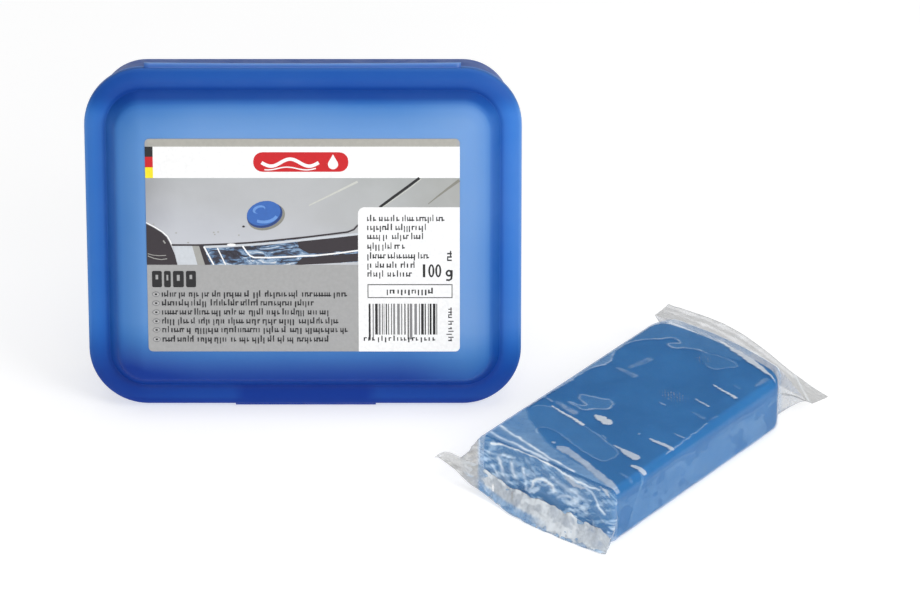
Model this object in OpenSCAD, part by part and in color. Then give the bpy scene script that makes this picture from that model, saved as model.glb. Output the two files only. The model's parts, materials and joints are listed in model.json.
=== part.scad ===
// Detailing clay kit: a hinged plastic storage case beside a clay block sealed in clear film.
// Case modules use a local frame: X across, Y up the lid from the latch rim, Z out of the lid.
// The origin of the whole part is the centre of the sealed block's underside, on the floor.

/* [Case] */
// Width across the rim
case_w = 140; // [120:1:170]
// Height from latch rim to hinge rim
case_h = 113; // [100:1:140]
// Rim corner radius
corner_r = 19; // [16:0.5:26]
// Shell wall thickness
wall = 1.4; // [1:0.1:1.8]
// Lid height above the parting plane
lid_h = 10.2; // [9:0.1:14]
// Base depth below the parting plane
base_depth = 26; // [20:0.5:40]
// Half of the gap between the two rims
seam = 0.1; // [0.05:0.05:0.2]
// Flange width on the lid
flange_w = 7; // [6.5:0.1:8]
// Flange height on the lid
flange_h = 3.3; // [3:0.1:3.8]
// Run of the sloped lid wall
wall_run = 3.1; // [2:0.1:4]

/* [Latch] */
// Catch ledge width
ledge_w = 45.6; // [40:0.1:60]
// Catch ledge projection past the rim
ledge_out = 0.9; // [0.5:0.1:2]
// Catch ledge depth
ledge_h = 3; // [2:0.1:4]
// Latch tongue width
tongue_w = 38; // [20:1:39]
// Latch tongue length below its root
tongue_len = 7; // [6:0.5:9]
// Latch tongue thickness
tongue_t = 1.2; // [0.8:0.1:1.2]

/* [Hinge] */
// Living hinge length
hinge_len = 101; // [40:1:101]
// Hinge axis distance past the rim
hinge_out = 1; // [1:0.1:2]
// Living hinge web radius
web_r = 0.5; // [0.3:0.05:0.5]

/* [Label] */
// Label width
label_w = 100.3; // [60:0.1:100.3]
// Label height
label_h = 71.3; // [40:0.1:72]
// Label stock thickness
label_t = 0.15; // [0.1:0.05:0.3]

/* [Clay pack] */
// Sealed block length
pack_l = 92; // [70:1:100]
// Sealed block width
pack_w = 55; // [45:1:60]
// Sealed block height
pack_h = 19.5; // [12:0.5:22]
// Film thickness
film_t = 0.25; // [0.15:0.05:0.4]
// Pack yaw on the floor
pack_yaw = 51; // [45:1:60]
// Far end seal width
far_w = 63; // [58:1:68]
// Near end seal width
near_w = 66; // [58:1:70]

/* [Placement] */
// Case centre to the left of the pack
case_x = -106.7; // [-130:0.1:-104]
// Case latch edge behind the pack centre
case_y = 29; // [29:0.5:60]

/* [Hidden] */
foot_r = 3.5;
foot_in = 3.5;
rim_h = 1.4;
flange_t = 1.5;
flange_run = 2;
land_w = 2.2;
slack = 0.05;
plug_d = 5.6;
plug_t = 1.2;
plug_depth = 2.5;
tongue_d = 5.2;
nose_d = 4.1;
bead_d = 3.8;
bead_w = 40;
leaf_in = 0.55;
leaf_t = 0.8;
end_gap = 0.05;
film_r = 1.9;
gusset_l = 6.5;
fin_l = 9;
fin_t = 0.5;
near_l = 5;

// The case leans back on its catch ledge and the tub's rear edge.
lean_a = foot_in + foot_r + ledge_out;
lean_b = base_depth - foot_r - ledge_h;
lean = acos(foot_r / norm([lean_a, lean_b])) - atan2(lean_b, lean_a);
case_z = ledge_out * cos(lean) + ledge_h * sin(lean);

// Lid section, as inset from the rim edge and height above the parting plane.
edge_d = flange_w + wall_run;
edge_h = lid_h - 2.2;
under_h = flange_h - wall;
lid_outer = [
    [0, seam],
    [0, rim_h],
    [0.4, rim_h + 0.5],
    [2.3, flange_h - 0.5],
    [4.2, flange_h],
    [flange_w - 1, flange_h],
    [flange_w, flange_h - 0.2],
    [flange_w + 0.3, flange_h + 0.1],
    [edge_d, edge_h - 0.1],
    [edge_d + 0.3, edge_h + 0.25],
    [edge_d + 0.9, edge_h + 0.6],
    [13.6, lid_h - 0.8],
    [16.2, lid_h - 0.2],
    [corner_r, lid_h]
];
lid_inner = [
    [corner_r, lid_h - wall],
    [16.2, lid_h - 0.2 - wall],
    [13.6, lid_h - 0.95 - wall],
    [edge_d + 1.7, edge_h + 0.6 - wall],
    [edge_d + 1.2, edge_h - 0.9],
    [flange_w + 1.5, under_h + 0.6],
    [flange_w + 0.9, under_h],
    [land_w + 0.8, under_h - 0.3],
    [land_w, seam]
];

// Tub section, with a drafted wall and a rounded foot.
draft = (foot_in - flange_run) / (base_depth - foot_r - flange_t);
function wall_out(w) = flange_run + draft * (-flange_t - w);
function wall_in(w) = wall_out(w) + wall;
function under_lid(d) = under_h - 0.3 * (flange_w + 0.9 - d) / (flange_w + 0.1 - land_w);
foot_c = [foot_in + foot_r, foot_r - base_depth];
foot_steps = [180, 202.5, 225, 247.5, 270];
function foot_arc(r) = [for (a = foot_steps) foot_c + r * [cos(a), sin(a)]];
function reversed(p) = [for (i = [len(p) - 1 : -1 : 0]) p[i]];
tub_outer = concat([[0, -seam], [0, -flange_t], [flange_run, -flange_t]], foot_arc(foot_r));
tub_floor = [[corner_r, -base_depth], [corner_r, wall - base_depth]];
tub_inner = concat(reversed(foot_arc(foot_r - wall)), [[wall_in(-seam), -seam]]);

module round_rect(w, h, r) {
    square([w - 2 * r, h], center = true);
    square([w, h - 2 * r], center = true);
    for (x = [-1, 1], y = [-1, 1]) {
        translate([x * (w / 2 - r), y * (h / 2 - r)])
            circle(r, $fn = 48);
    }
}

// Sweeps a section round the rounded rim, one straight side and one corner at a time.
module swept(section) {
    translate([0, case_h / 2, 0])
    for (k = [0 : 3]) {
        along = (k % 2 == 0 ? case_w : case_h) - 2 * corner_r;
        half = (k % 2 == 0 ? case_h : case_w) / 2;
        rotate([0, 0, 90 * k]) {
            translate([-along / 2, -half, 0])
            rotate([90, 0, 90])
            linear_extrude(along)
                polygon(section);
            translate([along / 2, corner_r - half, 0])
            rotate([0, 0, -90])
            rotate_extrude(angle = 90, $fn = 80)
                polygon([for (p = section) [corner_r - p[0], p[1]]]);
        }
    }
}

module centre_plate(w) {
    translate([corner_r - case_w / 2, corner_r, w])
        cube([case_w - 2 * corner_r, case_h - 2 * corner_r, wall]);
}

// Extrudes a section drawn in the case's Y and Z along its X, centred.
module across(length) {
    translate([-length / 2, 0, 0])
    rotate([90, 0, 90])
    linear_extrude(length)
        children();
}

module place_case() {
    translate([case_x, case_y, case_z])
    rotate([90 - lean, 0, 0])
        children();
}

module place_pack() {
    rotate([0, 0, pack_yaw])
        children();
}

module base_tub() {
    color([0.12, 0.3, 0.62])
    place_case() {
        swept(concat(tub_outer, tub_floor, tub_inner));
        centre_plate(-base_depth);
    }
}

module catch_ledge() {
    deep = [wall_out(-ledge_h), -ledge_h];
    color([0.12, 0.3, 0.62])
    place_case()
    across(ledge_w)
        polygon([
            [-ledge_out, -seam],
            [-ledge_out, -ledge_h],
            deep,
            [flange_run, -flange_t],
            [0, -flange_t],
            [0, -seam]
        ]);
}

module catch_bead() {
    color([0.12, 0.3, 0.62])
    place_case()
    across(bead_w)
        polygon([
            [wall_in(-2.6), -2.6],
            [bead_d, -3],
            [bead_d, -3.5],
            [wall_in(-3.9), -3.9]
        ]);
}

module hinge_leaf(side) {
    inner = side * leaf_in;
    outer = side * (leaf_in + leaf_t);
    reach = hinge_out - end_gap;
    place_case()
    across(hinge_len)
        polygon([
            [case_h, inner],
            [case_h + reach, inner],
            [case_h + reach, outer - side * 0.3],
            [case_h + reach - 0.3, outer],
            [case_h, outer]
        ]);
}

module base_hinge_leaf() {
    color([0.12, 0.3, 0.62])
        hinge_leaf(-1);
}

module lid_hinge_leaf() {
    color([0.2, 0.42, 0.75])
        hinge_leaf(1);
}

module living_hinge_web() {
    neck = 0.3;
    color([0.3, 0.5, 0.8])
    place_case()
    across(hinge_len) {
        translate([case_h + hinge_out, 0])
            circle(web_r, $fn = 32);
        translate([case_h + hinge_out - neck / 2, -leaf_in])
            square([neck, leaf_in - web_r / 2]);
    }
}

module lid_shell() {
    color([0.2, 0.42, 0.75])
    place_case() {
        swept(concat(lid_outer, lid_inner));
        centre_plate(lid_h - wall);
    }
}

module lid_plug_rim() {
    color([0.2, 0.42, 0.75])
    place_case()
    difference() {
        swept([
            [plug_d, under_lid(plug_d)],
            [plug_d, -plug_depth],
            [plug_d + plug_t, -plug_depth],
            [plug_d + plug_t, under_lid(plug_d + plug_t)]
        ]);
        translate([-tongue_w / 2 - 2, 0, -plug_depth - 1])
            cube([tongue_w + 4, 12, plug_depth + 5]);
    }
}

module label() {
    color([0.85, 0.85, 0.85])
    place_case()
    translate([0, case_h / 2, lid_h])
    linear_extrude(label_t)
        round_rect(label_w, label_h, 1.2);
}

module latch_tongue() {
    root_h = under_lid(tongue_d) - slack - tongue_t / 2;
    face = tongue_d - tongue_t / 2;
    color([0.06, 0.16, 0.42])
    place_case()
    across(tongue_w) {
        translate([tongue_d, root_h])
            circle(tongue_t / 2, $fn = 32);
        translate([face, root_h - tongue_len])
            square([tongue_t, tongue_len]);
        polygon([
            [face, root_h - tongue_len + 1.8],
            [nose_d, root_h - tongue_len + 1.3],
            [nose_d, root_h - tongue_len + 0.8],
            [face, root_h - tongue_len]
        ]);
    }
}

module clay_block() {
    l = pack_l - 2 * film_t - 2 * slack;
    w = pack_w - 2 * film_t - 2 * slack;
    h = pack_h - 2 * film_t - 2 * slack;
    color([0.16, 0.36, 0.66])
    place_pack()
    translate([0, 0, pack_h / 2])
    intersection() {
        translate([0, 0, -h / 2])
        linear_extrude(h) {
            translate([-5, 0])
                round_rect(l - 10, w, 2);
            translate([5, 0])
                round_rect(l - 10, w, 7);
        }
        translate([-l / 2, 0, 0])
        rotate([90, 0, 90])
        linear_extrude(l)
            round_rect(w, h, film_r - film_t - slack);
    }
}

module film_sleeve() {
    color([0.8, 0.86, 0.93, 0.4])
    place_pack()
    translate([-pack_l / 2, 0, pack_h / 2])
    rotate([90, 0, 90])
    linear_extrude(pack_l)
    difference() {
        round_rect(pack_w, pack_h, film_r);
        round_rect(pack_w - 2 * film_t, pack_h - 2 * film_t, film_r - film_t);
    }
}

// A tapered film gusset with a flat welded fin, drawn outwards from X = 0.
module end_seal(seal_h, taper, fin_len, fin_w, shift, ribs) {
    half = pack_w / 2;
    section = [[0, 0.6], [0, pack_h - 0.6], [taper, seal_h]];
    core = [[0, 0.6 + 2 * film_t], [0, pack_h - 0.6 - 2 * film_t], [taper - 1.2, seal_h]];
    translate([0, half, 0])
    rotate([90, 0, 0])
    difference() {
        linear_extrude(pack_w)
            polygon(section);
        translate([0, 0, film_t])
        linear_extrude(pack_w - 2 * film_t)
            polygon(core);
    }
    translate([taper - 0.8, shift - fin_w / 2, seal_h - fin_t / 2])
        cube([fin_len + 0.8, fin_w, fin_t]);
    for (i = [1 : ribs]) {
        translate([taper + i * fin_len / (ribs + 1) - 0.3, shift - fin_w / 2, seal_h - fin_t / 2 - 0.15])
            cube([0.6, fin_w, fin_t + 0.3]);
    }
}

module film_near_seal() {
    color([0.85, 0.88, 0.92, 0.5])
    place_pack()
    translate([-pack_l / 2, 0, 0])
    rotate([0, 0, 180])
        end_seal(pack_h * 0.42, 4, near_l, near_w, -5, 2);
}

module film_far_seal() {
    color([0.85, 0.88, 0.92, 0.5])
    place_pack()
    translate([pack_l / 2, 0, 0])
        end_seal(pack_h * 0.58, gusset_l, fin_l, far_w, 0, 3);
}

module film_back_seam() {
    color([0.85, 0.88, 0.92, 0.5])
    place_pack()
    translate([-pack_l / 2 + 1, pack_w / 2, pack_h * 0.3])
        cube([pack_l - 2, 0.3, 7]);
}

base_tub();
catch_ledge();
catch_bead();
base_hinge_leaf();
living_hinge_web();
lid_shell();
lid_plug_rim();
lid_hinge_leaf();
label();
latch_tongue();
clay_block();
film_sleeve();
film_near_seal();
film_far_seal();
film_back_seam();
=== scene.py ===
import json
import math

import bmesh
import bpy
import numpy as np
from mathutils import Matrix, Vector


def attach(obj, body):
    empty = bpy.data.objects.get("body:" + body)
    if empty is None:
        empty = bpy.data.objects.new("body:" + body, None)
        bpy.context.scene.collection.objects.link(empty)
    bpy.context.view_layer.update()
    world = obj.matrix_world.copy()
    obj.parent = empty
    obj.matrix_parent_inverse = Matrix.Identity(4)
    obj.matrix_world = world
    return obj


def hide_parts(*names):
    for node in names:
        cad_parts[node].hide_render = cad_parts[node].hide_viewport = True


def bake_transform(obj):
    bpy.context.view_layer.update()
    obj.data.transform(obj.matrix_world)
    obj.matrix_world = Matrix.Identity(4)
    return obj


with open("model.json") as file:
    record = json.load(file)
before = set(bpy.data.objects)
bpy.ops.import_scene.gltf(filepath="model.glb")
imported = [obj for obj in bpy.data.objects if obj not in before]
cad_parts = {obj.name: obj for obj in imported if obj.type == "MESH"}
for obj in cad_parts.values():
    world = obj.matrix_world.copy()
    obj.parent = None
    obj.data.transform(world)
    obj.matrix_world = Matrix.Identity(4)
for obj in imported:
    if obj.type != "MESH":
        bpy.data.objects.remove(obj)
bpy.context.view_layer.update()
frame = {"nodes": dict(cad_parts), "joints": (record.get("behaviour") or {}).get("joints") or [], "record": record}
record = frame["record"]
scene = bpy.context.scene

# ---------------------------------------------------------------- frames
# Case frame, in mm: u across, v up the lid from the latch rim, w out of the lid.
# Pack frame, in mm: x along the block, y across it, z up, from the middle of its underside.
hinge = next(j for j in frame["joints"] if j["name"] == "lid_hinge")
bottom = next(m for m in record["mounts"] if m["name"] == "case_bottom")
COS, SIN = bottom["axis"][1], -bottom["axis"][2]  # of the case's lean
CASE_W, CASE_H, CORNER, HINGE_V = 140.0, 113.0, 19.0, 114.0
U = np.array([1.0, 0.0, 0.0])
V = np.array([0.0, SIN, COS])
W = np.array([0.0, -COS, SIN])
CASE_O = np.array(hinge["pos_m"]) * 1000 - HINGE_V * V
YAW = math.radians(51)
PX = np.array([math.cos(YAW), math.sin(YAW), 0.0])
PY = np.array([-math.sin(YAW), math.cos(YAW), 0.0])
PZ = np.array([0.0, 0.0, 1.0])
PACK_L, PACK_W, PACK_H = 92.0, 55.0, 19.5


def case_pts(p):
    """Case-frame millimetres to metres in the row frame."""
    p = np.asarray(p, float)
    return (CASE_O + p[:, :1] * U + p[:, 1:2] * V + p[:, 2:3] * W) / 1000


def pack_pts(p):
    """Pack-frame millimetres to metres in the row frame."""
    p = np.asarray(p, float)
    return (p[:, :1] * PX + p[:, 1:2] * PY + p[:, 2:3] * PZ) / 1000


# ---------------------------------------------------------------- helpers
def lattice(ix, iy, iz, seed):
    """A fixed value from 0 to 1 for each whole-numbered point."""
    h = (ix * 374761393 + iy * 668265263 + iz * 2147483647 + seed * 974634777) & 0xFFFFFFFF
    h = ((h ^ (h >> 13)) * 1274126177) & 0xFFFFFFFF
    return ((h ^ (h >> 16)) & 0xFFFF) / 65535.0


def vnoise(x, y, z=0.0, seed=0):
    """Smooth value noise, 0 to 1."""
    x, y, z = np.broadcast_arrays(*(np.asarray(a, float) for a in (x, y, z)))
    fx, fy, fz = np.floor(x), np.floor(y), np.floor(z)
    ix, iy, iz = fx.astype(np.int64), fy.astype(np.int64), fz.astype(np.int64)
    tx, ty, tz = (t * t * (3 - 2 * t) for t in (x - fx, y - fy, z - fz))
    out = 0.0
    for dx in (0, 1):
        for dy in (0, 1):
            for dz in (0, 1):
                wgt = (tx if dx else 1 - tx) * (ty if dy else 1 - ty) * (tz if dz else 1 - tz)
                out = out + wgt * lattice(ix + dx, iy + dy, iz + dz, seed)
    return out


def fbm(x, y, z=0.0, seed=0, octaves=4):
    """Value noise in octaves, 0 to 1."""
    out, amp, total = 0.0, 1.0, 0.0
    for k in range(octaves):
        out = out + amp * vnoise(np.asarray(x) * 2**k, np.asarray(y) * 2**k, np.asarray(z) * 2**k, seed + k)
        total += amp
        amp *= 0.5
    return out / total


def creases(x, y, seed, count=7, size=6.0):
    """Sharp folds in random directions, 0 to 1, as crumpled film has."""
    r = np.random.default_rng(seed)
    wx = x + 2.2 * (vnoise(x / 5, y / 5, 0, seed) - 0.5) * 2
    wy = y + 2.2 * (vnoise(x / 5, y / 5, 3.3, seed) - 0.5) * 2
    out, total = 0.0, 0.0
    for _ in range(count):
        a, f, ph, amp = r.uniform(0, math.pi), r.uniform(0.7, 2.0) / size, r.uniform(0, 1), r.uniform(0.4, 1)
        t = (wx * math.cos(a) + wy * math.sin(a)) * f + ph
        out = out + amp * 2 * np.abs(t - np.floor(t) - 0.5)
        total += amp
    return out / total


def smooth(t):
    """A soft step from 0 at 0 to 1 at 1."""
    t = np.clip(t, 0, 1)
    return t * t * (3 - 2 * t)


def chaikin(pts, rounds=2):
    """Rounds a polyline by cutting its corners."""
    p = np.asarray(pts, float)
    for _ in range(rounds):
        a, b = p[:-1], p[1:]
        mid = np.empty((2 * len(a), p.shape[1]))
        mid[0::2], mid[1::2] = 0.75 * a + 0.25 * b, 0.25 * a + 0.75 * b
        p = np.vstack([p[:1], mid, p[-1:]])
    return p


def seg_dist(x, y, pts, closed=False):
    """Distance from each (x, y) to a polyline."""
    p = np.asarray(pts, float)
    if closed:
        p = np.vstack([p, p[:1]])
    best = np.full(np.shape(x), 1e9)
    for (ax, ay), (bx, by) in zip(p[:-1], p[1:]):
        dx, dy = bx - ax, by - ay
        t = np.clip(((x - ax) * dx + (y - ay) * dy) / max(dx * dx + dy * dy, 1e-9), 0, 1)
        best = np.minimum(best, np.hypot(x - ax - t * dx, y - ay - t * dy))
    return best


def inside(x, y, pts):
    """True where (x, y) lies in a polygon."""
    p = np.asarray(pts, float)
    hit = np.zeros(np.shape(x), bool)
    for (ax, ay), (bx, by) in zip(p, np.roll(p, -1, 0)):
        cross = (ay > y) != (by > y)
        with np.errstate(divide="ignore", invalid="ignore"):
            hit ^= cross & (x < (bx - ax) * (y - ay) / (by - ay if by != ay else 1e-9) + ax)
    return hit


def make(name, pts, faces, mats, body=None, attrs=None, smooth_faces=True, face_mats=None, slot=None,
        replaces=()):
    """A mesh piece in the row frame, riding on its body."""
    me = bpy.data.meshes.new(name)
    me.from_pydata([tuple(p) for p in pts], [], [tuple(int(i) for i in f) for f in faces])
    for key, values in (attrs or {}).items():
        a = me.attributes.new(key, "FLOAT", "POINT")
        a.data.foreach_set("value", np.asarray(values, np.float32))
    for m in mats if isinstance(mats, (list, tuple)) else [mats]:
        me.materials.append(m)
    me.polygons.foreach_set("use_smooth", [smooth_faces] * len(me.polygons))
    if face_mats is not None:
        me.polygons.foreach_set("material_index", face_mats)
    me.validate()
    if body and slot != "label_print":
        bm = bmesh.new()
        bm.from_mesh(me)
        bmesh.ops.recalc_face_normals(bm, faces=bm.faces)
        bm.to_mesh(me)
        bm.free()
    me.update()
    ob = bpy.data.objects.new(name, me)
    scene.collection.objects.link(ob)
    if body:
        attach(ob, body)
    if replaces:
        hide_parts(*replaces)
    return ob


def grid_faces(rows, cols, closed=False, start=0, flip=False):
    """Quads between rows of points; closed joins each row's ends."""
    out = []
    for i in range(rows - 1):
        for j in range(cols if closed else cols - 1):
            a, b = start + i * cols + j, start + i * cols + (j + 1) % cols
            c, d = b + cols, a + cols
            out.append((a, d, c, b) if flip else (a, b, c, d))
    return out


# ---------------------------------------------------------------- materials
def srgb(*rgb):
    """A colour given as 0 to 255, in linear light."""
    return tuple(c / 12.92 if c <= 0.04045 else ((c + 0.055) / 1.055) ** 2.4 for c in (v / 255 for v in rgb))


class Nodes:
    """A short way to build a material's node tree."""

    def __init__(self, name):
        self.mat = bpy.data.materials.new(name)
        self.mat.use_nodes = True
        self.nt = self.mat.node_tree
        self.nt.nodes.clear()
        self.out = self.nt.nodes.new("ShaderNodeOutputMaterial")

    def node(self, kind, **settings):
        n = self.nt.nodes.new("ShaderNode" + kind)
        for k, v in settings.items():
            setattr(n, k, v)
        return n

    def link(self, a, b):
        self.nt.links.new(a, b)

    def put(self, socket, value):
        if isinstance(value, bpy.types.NodeSocket):
            self.link(value, socket)
        elif hasattr(socket.default_value, "__len__") and len(socket.default_value) == 4 and len(value) == 3:
            socket.default_value = (*value, 1)
        else:
            socket.default_value = value

    def coords(self, scale=1.0, stretch=(1, 1, 1)):
        m = self.node("Mapping")
        self.link(self.node("TexCoord").outputs["Object"], m.inputs["Vector"])
        m.inputs["Scale"].default_value = [scale * s for s in stretch]
        return m.outputs["Vector"]

    def filled(self, kind, **values):
        """A node with the named inputs set or linked."""
        n = self.node(kind)
        for k, v in values.items():
            self.put(n.inputs[k.replace("_", " ")], v)
        return n

    def noise(self, scale, detail=3.0, rough=0.55, stretch=(1, 1, 1), distortion=0.0):
        return self.filled("TexNoise", Vector=self.coords(scale, stretch), Scale=1.0, Detail=detail,
                           Roughness=rough, Distortion=distortion).outputs["Fac"]

    def attr(self, name):
        return self.node("Attribute", attribute_name=name).outputs["Fac"]

    def math(self, op, a, b=0.0, clamp=False):
        n = self.node("Math", operation=op, use_clamp=clamp)
        self.put(n.inputs[0], a)
        self.put(n.inputs[1], b)
        return n.outputs[0]

    def remap(self, value, lo, hi, to_lo, to_hi):
        n = self.node("MapRange")
        for i, v in enumerate((value, lo, hi, to_lo, to_hi)):
            self.put(n.inputs[i], v)
        return n.outputs[0]

    def vary(self, scale, detail, lo, hi):
        """A noise spread over lo to hi."""
        return self.remap(self.noise(scale, detail), 0.3, 0.7, lo, hi)

    def ramp(self, value, stops):
        n = self.node("ValToRGB")
        e = n.color_ramp.elements
        e[0].position, e[0].color = stops[0][0], (*stops[0][1], 1)
        e[1].position, e[1].color = stops[-1][0], (*stops[-1][1], 1)
        for pos, col in stops[1:-1]:
            e.new(pos).color = (*col, 1)
        self.put(n.inputs["Fac"], value)
        return n.outputs["Color"]

    def mix(self, fac, a, b, mode="MIX"):
        n = self.node("Mix", data_type="RGBA", blend_type=mode)
        self.put(n.inputs[0], fac)
        self.put(n.inputs[6], a)
        self.put(n.inputs[7], b)
        return n.outputs[2]

    def bump(self, height, strength, distance, normal=None):
        n = self.filled("Bump", Strength=strength, Distance=distance, Height=height)
        if normal:
            self.link(normal, n.inputs["Normal"])
        return n.outputs["Normal"]

    def subsurface(self, shader, *radius):
        shader.inputs["Subsurface Radius"].default_value = radius
        return shader

    def principled(self, **values):
        return self.filled("BsdfPrincipled", **values)

    def mix_shader(self, fac, a, b):
        n = self.node("MixShader")
        for i, source in enumerate((fac, a, b)):
            self.link(source, n.inputs[i])
        return n.outputs[0]

    def finish(self, shader):
        self.link(shader, self.out.inputs["Surface"])
        return self.mat


MILK = (0.6, 0.75, 1.0)


def frosted_plastic(name, stops, rough=0.42):
    """Frosted translucent polypropylene; stops colour it by its distance in from the rim, and its painted shade
    attribute darkens it.
    """
    m = Nodes(name)
    deepest = stops[-1][0]
    base = m.ramp(m.math("DIVIDE", m.attr("inset"), deepest), [(d / deepest, srgb(*c)) for d, c in stops])
    cloud = m.noise(38, 3, 0.5)
    col = m.mix(m.remap(cloud, 0.35, 0.65, 0.0, 0.03), base, MILK, "SCREEN")
    # painted shade: the shade attribute mixes the colour towards dark navy
    shade = m.attr("shade")
    tint = m.mix(shade, col, srgb(3, 50, 140))
    half = m.math("MULTIPLY", m.math("MULTIPLY", shade, m.math("SUBTRACT", 1.0, shade)), 4.0)
    tint = m.mix(half, tint, (0.6, 0.93, 1.0), "MULTIPLY")  # half tones keep their full blue
    grain = m.bump(m.noise(2600, 2, 0.6), 0.22, 0.00006)
    drag = m.bump(m.noise(420, 2, 0.5), 0.12, 0.0001, grain)
    p = m.principled(Base_Color=tint, Roughness=m.vary(160, 3, rough - 0.05, rough + 0.07),
                     Normal=m.bump(cloud, 0.10, 0.0012, drag), Subsurface_Weight=0.10, Subsurface_Scale=0.004,
                     Specular_IOR_Level=0.14, IOR=1.49)
    return m.finish(m.subsurface(p, 0.3, 0.6, 1.0).outputs[0])


# mm in from the rim, and the colour there; the lighter rim edge is a painted highlight, and the darker groove and
# wall are partly the plastic's two layers and partly painted shade
LID_STOPS = [
    (0, (112, 156, 214)), (0.4, (88, 140, 212)), (1.2, (64, 124, 204)), (3.2, (56, 120, 203)),
    (5.4, (48, 111, 196)), (6.6, (34, 94, 178)), (7.4, (36, 96, 174)), (9, (42, 102, 182)),
    (9.9, (54, 113, 190)), (10.6, (78, 130, 198)), (12, (94, 142, 205)), (15, (106, 150, 208)),
    (19, (110, 154, 212)), (24, (106, 151, 211))]
TUB_STOPS = [
    (0, (70, 120, 196)), (1, (40, 88, 166)), (2.4, (30, 76, 156)), (6.5, (34, 84, 166)), (9, (44, 98, 182)),
    (19, (48, 102, 186)), (24, (48, 102, 186))]
lid_mat = frosted_plastic("lid_frosted_blue", LID_STOPS)
tub_mat = frosted_plastic("tub_frosted_blue", TUB_STOPS, 0.4)


def moulded(name, colour, rough):
    """Plain moulded polypropylene for the small fittings."""
    m = Nodes(name)
    col = m.mix(m.vary(90, 3, 0, 0.08), srgb(*colour), MILK, "SCREEN")
    p = m.principled(Base_Color=col, Roughness=m.vary(300, 2, rough - 0.05, rough + 0.05),
                     Normal=m.bump(m.noise(2400, 2), 0.2, 0.00006), Subsurface_Weight=0.1,
                     Subsurface_Scale=0.003, Specular_IOR_Level=0.25)
    return m.finish(p.outputs[0])


fitting_mat = moulded("fitting_blue", (12, 56, 156), 0.42)
tongue_mat = moulded("latch_blue", (8, 44, 136), 0.36)

# ---------------------------------------------------------------- swept case shells
CENTRE = np.array([0.0, CASE_H / 2])
HX, HY = CASE_W / 2 - CORNER, CASE_H / 2 - CORNER


CORNER_STEPS, SIDE_STEPS = 18, (20, 26)  # round each corner, and along the upright and level sides


def rim_path():
    """Corner-axis points and outward normals round the rim, anticlockwise from the bottom right side."""
    c, n = [], []
    corners = [(HX, -HY, -90), (HX, HY, 0), (-HX, HY, 90), (-HX, -HY, 180)]
    for k, (cx, cy, a0) in enumerate(corners):
        for i in range(CORNER_STEPS + 1):
            a = math.radians(a0 + 90 * i / CORNER_STEPS)
            c.append((cx, cy))
            n.append((math.cos(a), math.sin(a)))
        nx, ny, _ = corners[(k + 1) % 4]
        steps = SIDE_STEPS[k % 2]
        a = math.radians(a0 + 90)
        for i in range(1, steps):
            t = i / steps
            c.append((cx + (nx - cx) * t, cy + (ny - cy) * t))
            n.append((math.cos(a), math.sin(a)))
    return np.array(c), np.array(n)


PATH_C, PATH_N = rim_path()
# rings that close the middle: how far out their corner axes keep, and their corner radius
CAP = ((0.97, 1.6), (0.9, 3.2), (0.75, 7.0), (0.5, 12.0), (0.25, 13.0), (0.1, 8.0), (0.02, 2.0))
CAP_DEPTH = 5.0  # the inset still to come over the cap


def ring(r, w, keep=1.0):
    """Points round the case with corner radius r, at w."""
    p = PATH_C * keep + r * PATH_N
    return np.column_stack([p[:, 0], p[:, 1] + CENTRE[1], np.full(len(p), w)])


def shell(profile_out, profile_in, warp=None):
    """A closed shell swept round the rim, with a cap over its middle on both faces.

    Profiles are inset from the rim and w. Returns points, faces and insets."""
    w_out, w_in = profile_out[-1][1], profile_in[0][1]
    swept = [[(CORNER - d, w, 1.0, d) for d, w in side if d <= CORNER - 1] for side in (profile_out,
        profile_in)]
    caps = [[(r, w, keep, CORNER + CAP_DEPTH * (1 - keep)) for keep, r in CAP] for w in (w_out, w_in)]
    rows = swept[0] + caps[0] + caps[1][::-1] + swept[1]
    split = len(swept[0]) + len(CAP)
    n = len(PATH_C)
    pts = np.vstack([ring(r, w, keep) for r, w, keep, _ in rows])
    flip = w_out < 0
    faces = grid_faces(split, n, True, 0, flip) + grid_faces(len(rows) - split, n, True, split * n, flip)
    faces += [tuple(range((split - 1) * n, split * n))[:: (-1 if flip else 1)]]
    faces += [tuple(range(split * n, (split + 1) * n))[:: (1 if flip else -1)]]
    last = (len(rows) - 1) * n
    for j in range(n):
        k = (j + 1) % n
        q = (last + j, last + k, k, j)
        faces.append(q[::-1] if flip else q)
    inset = np.repeat([row[3] for row in rows], n)
    if warp is not None:
        pts = warp(pts, inset)
    return pts, faces, inset


def fine(profile):
    """A profile with its corners rounded."""
    return [tuple(p) for p in chaikin(profile)]


lid_out = fine([
    (0, 0.1), (0, 0.9), (0.1, 1.35), (0.5, 1.75), (1.6, 2.35), (3.2, 2.95), (4.9, 3.25), (6, 3.2),
    (6.7, 2.95), (7.05, 2.9), (7.3, 3.2), (8.4, 5), (9.8, 7.35), (10.2, 7.85), (10.9, 8.35), (12.4, 8.85),
    (14.2, 9.4), (16.4, 9.9), (18, 10.17), (19, 10.2)])
lid_in = fine([
    (19, 8.8), (18, 8.78), (16.4, 8.5), (13.8, 7.8), (11.9, 7.1), (11.3, 6.6), (8.7, 2.6), (8, 1.9),
    (7, 1.82), (3.2, 1.6), (2.4, 1.2), (2.2, 0.1)])


def lid_warp(p, inset):
    """A slight natural unevenness, which fades out at the rim and under the label."""
    u, v = p[:, 0], p[:, 1]
    soft = smooth((inset - 9) / 3) * (1 - smooth((inset - 16.5) / 2))
    p[:, 2] += soft * 0.16 * (fbm(u / 22 + 9, v / 22, 0, 3, 2) - 0.5) * 2
    return p


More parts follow.
